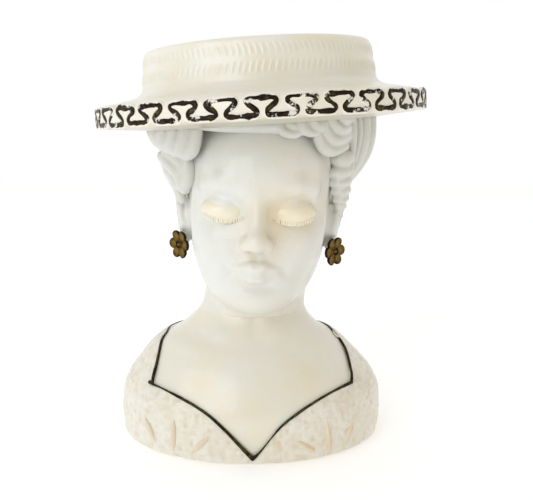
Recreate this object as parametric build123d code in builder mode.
from build123d import *
from math import cos, pi, sin
import os

# A lady-head planter: a hollow glazed bust whose straw hat is open at the
# crown, so that the hat, the head and the shoulders are one vessel.
# Millimetres, +Z up, the face looks along -Y, origin at the middle of the base.

# Vessel
wall = 4.5
floor_thickness = 5.0
overrun = 3.0
clear_of_all = 200.0

# Bust: the shoulders, the chest and the root of the neck
bust_half_width = 60.8
bust_front_reach = 43.5
bust_back_reach = 38.0
neck_half_width = 24.0
neck_front_reach = 18.0
neck_back_reach = 28.0
torso_height = 88.0
neck_join_drop = 30.0
neck_join_height = torso_height - neck_join_drop
neck_sideways_lean = 3.6
section_points = 12
ellipse_fullness = 2.0
bust_added_fullness = 0.06

# Head
head_side_offset = 2.0
chin_drop = 24.0
chin_height = torso_height - chin_drop
head_height = 89.0
head_half_width = 31.8
head_depth = 76.0
head_roll = 2.75
head_fullness = 2.1
nose_reach = 10.0
nose_half_width = 6.2
nose_root_depth = 2.25
upper_lip_half_length = 9.5
upper_lip_radius = 2.5
lower_lip_half_length = 7.6
lower_lip_radius = 3.0
eye_spacing = 26.0
eyelid_half_length = 7.6
eyelid_radius = 5.6
lash_radius = 0.8
lash_sag = 3.2

# Ears and earrings
ear_half_height = 9.0
ear_half_width = 5.2
ear_reach = 5.6
ear_rim = 2.0
ear_rim_round = 1.2
ear_hollow_depth = 1.4
ear_back_offset = 2.0
earring_radius = 6.8
earring_thickness = 2.6
earring_petals = 6
petal_middle_radius = 3.9
petal_half_length = 2.9
petal_half_width = 2.1
earring_disc_radius = 3.1
earring_heart_radius = 1.7
earring_post_radius = 2.2

# Hat
hat_side_offset = 4.85
hat_front_offset = 1.0
hat_sink = 4.5
hat_level = chin_height + head_height - hat_sink
hat_tilt = -3.55
brim_radius = 71.5
brim_band_top = 4.2
brim_band_bottom = -4.0
brim_underside = -6.0
brim_seat_radius = 49.0
brim_shoulder_height = 8.5
brim_edge_round = 2.0
head_opening_radius = 26.5
crown_base_radius = 51.5
crown_top_radius = 49.0
crown_top = 26.4
crown_lip_round = 2.0

# Key pattern round the brim
key_units = 32
key_height = 6.1
key_centre_level = 0.3
key_line_width = 1.3
key_relief = 0.5
key_corner_radius = 0.9
key_bar_share = 0.70
key_slant_share = 0.20
key_start_share = 0.5

# Dress
dress_thickness = 0.8
dress_hem_height = 1.2
neckline_line_width = 1.2
neckline_relief = 0.4
neckline_half_width = 42.5
neckline_corner_share = 0.3534
neckline_tip_share = 0.05
neckline_top_share = 0.4886
neckline_side_offset = 1.3
neckline_bow_share = 0.26
leaf_width = 2.6
leaf_relief = 0.9

# Hair
hair_depth = 5.5
lock_radius = 8.0

# Torso rows: height, then width, front and back between the neck (0) and
# the widest part of the bust (1), and the sideways lean
torso_rows_share = (
    (0.000, 0.955, 0.930, 0.760, 0.00),
    (0.017, 0.975, 0.980, 0.910, 0.00),
    (0.057, 0.990, 1.000, 1.000, 0.00),
    (0.114, 1.000, 1.000, 1.000, 0.00),
    (0.193, 0.985, 0.985, 1.000, 0.00),
    (0.261, 0.955, 0.930, 0.990, 0.00),
    (0.318, 0.880, 0.850, 0.950, -0.05),
    (0.386, 0.748, 0.740, 0.800, -0.15),
    (0.449, 0.617, 0.600, 0.600, -0.25),
    (0.500, 0.473, 0.460, 0.400, -0.25),
    (0.545, 0.277, 0.300, 0.220, -0.15),
    (0.591, 0.147, 0.140, 0.100, -0.05),
    (0.659, 0.020, 0.000, 0.000, 0.22),
    (0.750, -0.015, -0.060, -0.040, 0.60),
    (0.864, 0.020, -0.060, 0.000, 1.00),
    (1.000, 0.030, 0.000, 0.200, 1.10),
)

# Head rows: height of the head, half width, then the middle line, the front
# depth and the back depth as shares of the head's depth
head_rows_share = (
    (0.000, 0.283, -0.290, 0.105, 0.132),
    (0.022, 0.456, -0.237, 0.191, 0.237),
    (0.067, 0.600, -0.158, 0.290, 0.316),
    (0.157, 0.755, -0.079, 0.375, 0.368),
    (0.270, 0.874, -0.026, 0.428, 0.421),
    (0.382, 0.943, 0.000, 0.447, 0.474),
    (0.506, 0.984, 0.013, 0.447, 0.500),
    (0.629, 1.000, 0.013, 0.474, 0.526),
    (0.753, 0.984, 0.013, 0.467, 0.526),
    (0.865, 0.943, 0.013, 0.434, 0.500),
    (0.978, 0.833, 0.013, 0.368, 0.434),
)
cavity_first_row = 2

# Nose rows: height of the head, half width and reach
nose_rows_share = (
    (0.540, 0.50, 0.10),
    (0.460, 0.52, 0.42),
    (0.385, 0.72, 0.78),
    (0.330, 1.00, 1.00),
    (0.292, 0.86, 0.72),
)
mouth_height_share = 0.205
lower_lip_height_share = 0.165
eye_height_share = 0.506
eye_depth_share = 0.362
ear_height_share = 0.365
ear_side_share = 1.02
ear_turn_share = 0.35
lobe_height_share = 0.255
face_front_share = 0.440
earring_side_share = 1.10
earring_front_share = 0.04

# Leaf places on the dress: tip and foot, as shares of the bust's half width
# and of the neck's joining height
leaf_places_share = (
    (0.690, 0.292, 0.625, 0.116),
    (0.498, 0.328, 0.508, 0.076),
    (0.267, 0.222, 0.402, 0.092),
)

# Hair locks: routes as shares of the head's half width, depth and height,
# and thickness as a share of the usual lock's radius
left_upper_share = (
    (-0.80, -0.36, 0.84, 0.55),
    (-1.16, -0.22, 0.80, 1.10),
    (-1.30, -0.04, 0.78, 1.30),
    (-1.22, 0.16, 0.78, 1.20),
    (-0.96, 0.34, 0.80, 0.60),
)
left_lower_share = (
    (-0.96, -0.22, 0.60, 0.45),
    (-1.06, -0.08, 0.55, 0.95),
    (-1.05, 0.10, 0.48, 0.95),
    (-0.88, 0.28, 0.42, 0.50),
)
front_swirl_share = (
    (0.10, -0.43, 0.86, 0.35),
    (0.36, -0.43, 0.85, 0.62),
    (0.62, -0.38, 0.86, 0.66),
    (0.80, -0.28, 0.89, 0.45),
)
right_upper_share = (
    (0.72, -0.34, 0.78, 0.45),
    (0.90, -0.24, 0.78, 0.95),
    (1.08, -0.10, 0.82, 1.05),
    (1.12, 0.06, 0.86, 0.60),
)
right_ringlet_share = (
    (1.02, -0.16, 0.72, 0.70),
    (1.09, -0.13, 0.62, 0.85),
    (1.08, -0.10, 0.52, 0.75),
    (1.00, -0.06, 0.42, 0.40),
)
back_roll_share = (
    (1.12, -0.02, 0.58, 0.70),
    (1.24, 0.04, 0.68, 1.20),
    (1.27, 0.08, 0.80, 1.35),
    (1.20, 0.12, 0.92, 1.10),
)
hair_front_share = -0.24
hair_behind_ear_share = 0.12
ear_top_share = 0.45
nape_height_share = 0.24

os.makedirs("parts", exist_ok=True)


def finish(piece, label):
    """Name one finished piece and write it."""
    piece.label = label
    export_step(piece, f"parts/{label}.step")


def outline(plane, half_width, front, back, fullness, middle=(0, 0)):
    """A closed, smooth cross-section, fuller than an ellipse above fullness 2.

    It starts at the back, so that its seam runs down behind the figure.
    """
    points = []
    for step in range(section_points):
        angle = pi / 2 + 2 * pi * step / section_points
        across = abs(cos(angle)) ** (2 / fullness)
        along = abs(sin(angle)) ** (2 / fullness)
        side = 1 if cos(angle) >= 0 else -1
        depth = back if sin(angle) >= 0 else -front
        points.append((middle[0] + side * across * half_width, middle[1] + along * depth))
    with BuildSketch(plane) as section:
        with BuildLine():
            Spline(points, periodic=True)
        make_face()
    return section.sketch


def loft_through(sections):
    """A smooth closed solid through cross-sections."""
    with BuildPart() as form:
        loft(sections)
    return form.part


def torso_form(grow, lowest=0.0):
    """The bust and neck, as one form that is thicker or thinner by grow."""
    sections = []
    for height_share, width_share, front_share, back_share, lean_share in torso_rows_share:
        height = height_share * torso_height
        if height < lowest:
            continue
        half_width = neck_half_width + (bust_half_width - neck_half_width) * width_share
        front = neck_front_reach + (bust_front_reach - neck_front_reach) * front_share
        back = neck_back_reach + (bust_back_reach - neck_back_reach) * back_share
        fullness = ellipse_fullness + bust_added_fullness * max(width_share, 0)
        middle = (neck_sideways_lean * lean_share, 0)
        plane = Plane.XY.offset(height)
        sections.append(outline(plane, half_width + grow, front + grow, back + grow, fullness, middle))
    return loft_through(sections)


head_plane = Plane(origin=(head_side_offset, 0, chin_height)).rotated((0, head_roll, 0))


def head_form(grow, first_row=0):
    """The head without its hair, thicker or thinner by grow."""
    sections = []
    for height_share, width_share, middle_share, front_share, back_share in head_rows_share[first_row:]:
        half_width = head_half_width * width_share + grow
        front = head_depth * front_share + grow
        back = head_depth * back_share + grow
        middle = (0, head_depth * middle_share)
        plane = head_plane.offset(head_height * height_share)
        sections.append(outline(plane, half_width, front, back, head_fullness, middle))
    return loft_through(sections)


def head_point(side_share, depth_share, height_share):
    """A point given in shares of the head's half width, depth and height."""
    place = (head_half_width * side_share, head_depth * depth_share, head_height * height_share)
    return head_plane.from_local_coords(place)


def spheroid(centre, direction, half_length, radius):
    """A closed solid like an egg, round about one direction."""
    lengthwise = Vector(*direction).normalized()
    crosswise = Vector(0, 0, 1) if abs(lengthwise.Z) < abs(lengthwise.X) + abs(lengthwise.Y) else Vector(0, 1, 0)
    section_plane = Plane(origin=centre, x_dir=lengthwise, z_dir=crosswise.cross(lengthwise))
    with BuildPart() as body:
        with BuildSketch(section_plane):
            with BuildLine():
                EllipticalCenterArc((0, 0), half_length, radius, 0, arc_size=180)
                Line((half_length, 0), (-half_length, 0))
            make_face()
        revolve(axis=Axis(centre, lengthwise))
    return body.part


def set_against(form, carriers):
    """A form cut back to the surfaces of what it lies on, its loose slivers left out."""
    with BuildPart() as cut_form:
        add(form)
        for carrier in carriers:
            add(carrier, mode=Mode.SUBTRACT)
    with BuildPart() as piece:
        add(cut_form.solids().sort_by(SortBy.VOLUME)[-1])
    return piece.part


# Hat frame
hat_plane = Plane(origin=(hat_side_offset, hat_front_offset, hat_level)).rotated((0, hat_tilt, 0))
hat_axis = Axis(hat_plane.origin, hat_plane.z_dir)
hat_section = Plane(origin=hat_plane.origin, x_dir=hat_plane.x_dir, z_dir=-hat_plane.y_dir)

# Everything above the underside of the brim
with BuildPart() as above_brim:
    with BuildSketch(hat_plane.offset(brim_underside)):
        Circle(clear_of_all)
    extrude(amount=head_height)

# Everything below the joint at the root of the neck, and everything above it
with BuildPart() as below_join:
    with BuildSketch(Plane.XY.offset(neck_join_height)):
        Circle(clear_of_all)
    extrude(amount=-neck_join_height - overrun)

torso = torso_form(0)
torso_cavity = torso_form(-wall, floor_thickness - wall)
head = head_form(0)
head_cavity = head_form(-wall, cavity_first_row)

# Floor of the vessel
with BuildPart() as floor_slab:
    with BuildSketch(Plane.XY):
        Circle(clear_of_all)
    extrude(amount=floor_thickness)

# Bust shell: floor, chest, shoulders and back, open at the neck
with BuildPart() as cavity_above_floor:
    add(torso_cavity)
    add(floor_slab.part, mode=Mode.SUBTRACT)
with BuildPart() as bust_shell:
    add(torso)
    add(below_join.part, mode=Mode.INTERSECT)
    add(cavity_above_floor.part, mode=Mode.SUBTRACT)
finish(bust_shell.part, "bust_shell")

# Nose
nose_sections = []
face_front = head_depth * face_front_share
for height_share, width_share, reach_share in nose_rows_share:
    nose_plane = head_plane.offset(head_height * height_share)
    nose_front = nose_reach * reach_share + nose_root_depth
    half_width = nose_half_width * width_share
    nose_sections.append(
        outline(nose_plane, half_width, nose_front, nose_root_depth, ellipse_fullness, (0, -face_front))
    )
nose = loft_through(nose_sections)

# Lips
upper_lip = spheroid(
    head_point(0, -face_front_share, mouth_height_share),
    tuple(head_plane.x_dir),
    upper_lip_half_length,
    upper_lip_radius,
)
lower_lip = spheroid(
    head_point(0, -face_front_share, lower_lip_height_share),
    tuple(head_plane.x_dir),
    lower_lip_half_length,
    lower_lip_radius,
)

# Head shell: neck, face and skull, open at both ends
with BuildPart() as head_solid:
    add(torso)
    add(below_join.part, mode=Mode.SUBTRACT)
    add(head)
    add(nose)
    add(upper_lip)
    add(lower_lip)
    add(above_brim.part, mode=Mode.SUBTRACT)
with BuildPart() as head_shell:
    add(head_solid.part)
    add(torso_cavity, mode=Mode.SUBTRACT)
    add(head_cavity, mode=Mode.SUBTRACT)
finish(head_shell.part, "head_shell")

# Eyelids with their lashes
for side, side_name in ((-1, "left"), (1, "right")):
    side_share = side * eye_spacing / 2 / head_half_width
    eye_centre = head_point(side_share, -eye_depth_share, eye_height_share)
    lid = spheroid(eye_centre, tuple(head_plane.x_dir), eyelid_half_length, eyelid_radius)
    lash_plane = Plane(
        origin=eye_centre - Vector(0, eyelid_radius - lash_radius, 0),
        x_dir=head_plane.x_dir,
        z_dir=-head_plane.y_dir,
    )
    with BuildPart() as lid_and_lash:
        add(lid)
        with BuildLine(lash_plane) as lash_line:
            ThreePointArc((-eyelid_half_length, 0), (0, -lash_sag), (eyelid_half_length, 0))
        with BuildSketch(Plane(origin=lash_line.line @ 0, z_dir=lash_line.line % 0)):
            Circle(lash_radius)
        sweep(path=lash_line.line)
    finish(set_against(lid_and_lash.part, [head_solid.part]), f"eyelid_{side_name}")

# Ears: a rounded rim round a sunken hollow
ears = {}
for side, side_name in ((-1, "left"), (1, "right")):
    ear_centre = head_point(side * ear_side_share, 0, ear_height_share) + Vector(0, ear_back_offset, 0)
    ear_plane = Plane(origin=ear_centre, x_dir=(0, 0, 1), z_dir=(side, -ear_turn_share, 0))
    with BuildPart() as ear:
        with BuildSketch(ear_plane):
            Ellipse(ear_half_height, ear_half_width)
        extrude(amount=ear_reach)
        fillet(ear.faces().sort_by(Axis(ear_plane.origin, ear_plane.z_dir))[-1].edges(), ear_rim_round)
        with BuildSketch(ear_plane):
            Ellipse(ear_half_height, ear_half_width)
        extrude(amount=-ear_half_height)
        with BuildSketch(ear_plane.offset(ear_reach)):
            Ellipse(ear_half_height - ear_rim, ear_half_width - ear_rim)
        extrude(amount=-ear_hollow_depth, mode=Mode.SUBTRACT)
    ears[side_name] = set_against(ear.part, [head_solid.part])
    finish(ears[side_name], f"ear_{side_name}")

# Earrings: six petals round a sunken heart, on the ear lobe
earrings = {}
for side, side_name in ((-1, "left"), (1, "right")):
    flower_centre = head_point(side * earring_side_share, -earring_front_share, lobe_height_share)
    outward = Vector(side, -1, 0).normalized()
    flower_plane = Plane(origin=flower_centre, x_dir=(0, 0, 1), z_dir=outward)
    with BuildPart() as flower:
        with BuildSketch(flower_plane):
            with PolarLocations(petal_middle_radius, earring_petals):
                Ellipse(petal_half_length, petal_half_width)
            Circle(earring_disc_radius)
        extrude(amount=earring_thickness)
        with BuildSketch(flower_plane):
            Circle(earring_post_radius)
        extrude(amount=-earring_radius)
        with BuildSketch(flower_plane.offset(earring_thickness)):
            Circle(earring_heart_radius)
        extrude(amount=-earring_thickness / 2, mode=Mode.SUBTRACT)
    earrings[side_name] = set_against(flower.part, [head_solid.part, ears[side_name]])
    finish(earrings[side_name], f"earring_{side_name}")

# Hair: a cap over the back of the skull and locks rolled over it
with BuildPart() as hair_region:
    for front_share, low_share in ((hair_front_share, ear_top_share), (hair_behind_ear_share, nape_height_share)):
        with BuildSketch(head_plane.offset(head_height * low_share)):
            with Locations((0, head_depth * front_share)):
                Rectangle(clear_of_all, clear_of_all, align=(Align.CENTER, Align.MIN))
        extrude(amount=head_height)
with BuildPart() as hair_cap:
    add(head_form(hair_depth))
    add(hair_region.part, mode=Mode.INTERSECT)
worn = [*ears.values(), *earrings.values()]
hair_back = set_against(hair_cap.part, [above_brim.part, head_solid.part, *worn])
finish(hair_back, "hair_back")


def lock_form(route_share, upright):
    """A tapering lock of hair along its route."""
    spine = [head_point(*place[:3]) for place in route_share]
    sections = []
    for index, place in enumerate(route_share):
        before = spine[max(index - 1, 0)]
        after = spine[min(index + 1, len(spine) - 1)]
        lengthwise = (after - before).normalized()
        crosswise = Vector(*upright).cross(lengthwise)
        with BuildSketch(Plane(origin=spine[index], x_dir=crosswise, z_dir=lengthwise)) as ring:
            Circle(lock_radius * place[3])
        sections.append(ring.sketch)
    return loft_through(sections)


locks = (
    ("hair_left_upper", left_upper_share, (0, 0, 1)),
    ("hair_left_lower", left_lower_share, (0, 0, 1)),
    ("hair_front_swirl", front_swirl_share, (0, 0, 1)),
    ("hair_right_upper", right_upper_share, (0, 0, 1)),
    ("hair_right_ringlet", right_ringlet_share, (0, 1, 0)),
    ("hair_back_roll", back_roll_share, (0, 1, 0)),
)
laid = [hair_cap.part, head_solid.part, above_brim.part, *worn]
for lock_name, route_share, upright in locks:
    lock = set_against(lock_form(route_share, upright), laid)
    finish(lock, lock_name)
    laid.append(lock)

# Hat brim: the wide plate that closes the top of the head round its opening
with BuildPart() as hat_brim:
    with BuildSketch(hat_section) as brim_section:
        with BuildLine():
            Polyline(
                (head_opening_radius, brim_underside),
                (brim_seat_radius, brim_underside),
                (brim_radius, brim_band_bottom),
                (brim_radius, brim_band_top),
                (crown_base_radius, brim_shoulder_height),
                (crown_base_radius - wall, brim_shoulder_height),
                (crown_base_radius - wall, brim_underside + wall),
                (head_opening_radius, brim_underside + wall),
                close=True,
            )
        make_face()
        fillet(brim_section.vertices().group_by(Axis.X)[-1], brim_edge_round)
    revolve(axis=hat_axis)
finish(hat_brim.part, "hat_brim")

# Hat crown: the open ring that is the mouth of the planter
with BuildPart() as hat_crown:
    with BuildSketch(hat_section) as crown_section:
        with BuildLine():
            Polyline(
                (crown_base_radius - wall, brim_shoulder_height),
                (crown_base_radius, brim_shoulder_height),
                (crown_top_radius, crown_top),
                (crown_top_radius - wall, crown_top),
                close=True,
            )
        make_face()
        fillet(crown_section.vertices().group_by(Axis.Y)[-1], crown_lip_round)
    revolve(axis=hat_axis)
finish(hat_crown.part, "hat_crown")

# Key pattern: one running line that doubles back between an upper and a
# lower bar, raised on the edge of the brim
key_pitch = 2 * pi * brim_radius / key_units
with BuildPart() as key_unit:
    key_face = Plane(
        origin=hat_plane.origin + hat_plane.z_dir * key_centre_level,
        x_dir=hat_plane.x_dir,
        z_dir=-hat_plane.y_dir,
    ).offset(brim_radius - key_line_width)
    with BuildSketch(key_face):
        with BuildLine():
            upper_middle = -key_pitch / 2
            upper_end = upper_middle + key_pitch * key_bar_share / 2
            lower_start = upper_end - key_pitch * key_slant_share
            lower_end = lower_start + key_pitch * key_bar_share
            next_start = lower_end - key_pitch * key_slant_share
            FilletPolyline(
                (upper_middle, key_height / 2),
                (upper_end, key_height / 2),
                (lower_start, -key_height / 2),
                (lower_end, -key_height / 2),
                (next_start, key_height / 2),
                (upper_middle + key_pitch, key_height / 2),
                radius=key_corner_radius,
            )
        trace(line_width=key_line_width)
    extrude(amount=key_line_width + key_relief + key_relief)
with BuildPart() as key_ring:
    with BuildSketch(hat_section):
        with BuildLine():
            Polyline(
                (brim_radius - key_line_width, brim_underside),
                (brim_radius + key_relief, brim_underside),
                (brim_radius + key_relief, brim_shoulder_height),
                (brim_radius - key_line_width, brim_shoulder_height),
                close=True,
            )
        make_face()
    revolve(axis=hat_axis)
with BuildPart() as key_stroke:
    add(key_unit.part)
    add(key_ring.part, mode=Mode.INTERSECT)
    add(hat_brim.part, mode=Mode.SUBTRACT)
with BuildPart() as brim_key_trim:
    turns = [360 * (unit + key_start_share) / key_units for unit in range(key_units)]
    add([key_stroke.part.rotate(hat_axis, turn) for turn in turns])
finish(brim_key_trim.part, "brim_key_trim")


# Dress
neckline_corner_height = torso_height * neckline_corner_share
neckline_tip_height = torso_height * neckline_tip_share
neckline_top_height = torso_height * neckline_top_share
neckline_left = neckline_side_offset - neckline_half_width
neckline_right = neckline_side_offset + neckline_half_width
neckline_drop = neckline_corner_height - neckline_tip_height
bow_height = neckline_corner_height - neckline_drop * neckline_bow_share
neckline_tip = (neckline_side_offset, neckline_tip_height)


def draw_neckline(lean, top_height):
    """Add the neckline, seen from the front, to the line being drawn."""
    left_bow = ((neckline_left + neckline_side_offset) / 2, bow_height)
    right_bow = ((neckline_right + neckline_side_offset) / 2, bow_height)
    Line((neckline_left + lean, top_height), (neckline_left, neckline_corner_height))
    ThreePointArc((neckline_left, neckline_corner_height), left_bow, neckline_tip)
    ThreePointArc(neckline_tip, right_bow, (neckline_right, neckline_corner_height))
    Line((neckline_right, neckline_corner_height), (neckline_right - lean, top_height))


with BuildPart() as neckline_cut:
    cut_top = neck_join_height + overrun
    with BuildSketch(Plane.XZ):
        with BuildLine():
            draw_neckline(0, cut_top)
            Line((neckline_right, cut_top), (neckline_left, cut_top))
        make_face()
    extrude(amount=clear_of_all)
    with BuildSketch(Plane.XY.offset(neckline_top_height)):
        Circle(clear_of_all)
    extrude(amount=torso_height)
with BuildPart() as hem_cut:
    with BuildSketch(Plane.XY.offset(dress_hem_height)):
        Circle(clear_of_all)
    extrude(amount=-overrun)
with BuildPart() as neckline_stroke:
    with BuildSketch(Plane.XZ):
        with BuildLine():
            draw_neckline(neckline_line_width, neckline_top_height)
        trace(line_width=neckline_line_width)
    extrude(amount=clear_of_all)
    with BuildSketch(Plane.XY.offset(neckline_top_height - neckline_line_width)):
        Rectangle(clear_of_all, clear_of_all, align=(Align.CENTER, Align.MIN))
    extrude(amount=neckline_line_width)

dress_outer = torso_form(dress_thickness)
with BuildPart() as dress:
    add(dress_outer)
    add(torso, mode=Mode.SUBTRACT)
    add(neckline_cut.part, mode=Mode.SUBTRACT)
    add(neckline_stroke.part, mode=Mode.SUBTRACT)
    add(hem_cut.part, mode=Mode.SUBTRACT)
finish(dress.part, "dress")

with BuildPart() as neckline_trim:
    add(torso_form(dress_thickness + neckline_relief))
    add(neckline_stroke.part, mode=Mode.INTERSECT)
    add(torso, mode=Mode.SUBTRACT)
finish(neckline_trim.part, "neckline_trim")

# Leaves low on the dress
leaf_outer = torso_form(dress_thickness + leaf_relief)
for side, side_name in ((-1, "left"), (1, "right")):
    with BuildPart() as leaf_blades:
        with BuildSketch(Plane.XZ):
            for tip_x, tip_z, foot_x, foot_z in leaf_places_share:
                tip = Vector(side * tip_x * bust_half_width, tip_z * neck_join_height)
                foot = Vector(side * foot_x * bust_half_width, foot_z * neck_join_height)
                middle = (tip + foot) / 2
                sideways = (tip - foot).normalized().rotate(Axis.Z, 90) * leaf_width / 2
                with BuildLine():
                    ThreePointArc(tip, middle + sideways, foot)
                    ThreePointArc(foot, middle - sideways, tip)
                make_face()
        extrude(amount=clear_of_all)
        add(leaf_outer, mode=Mode.INTERSECT)
        add(dress_outer, mode=Mode.SUBTRACT)
    finish(leaf_blades.part, f"leaf_spray_{side_name}")
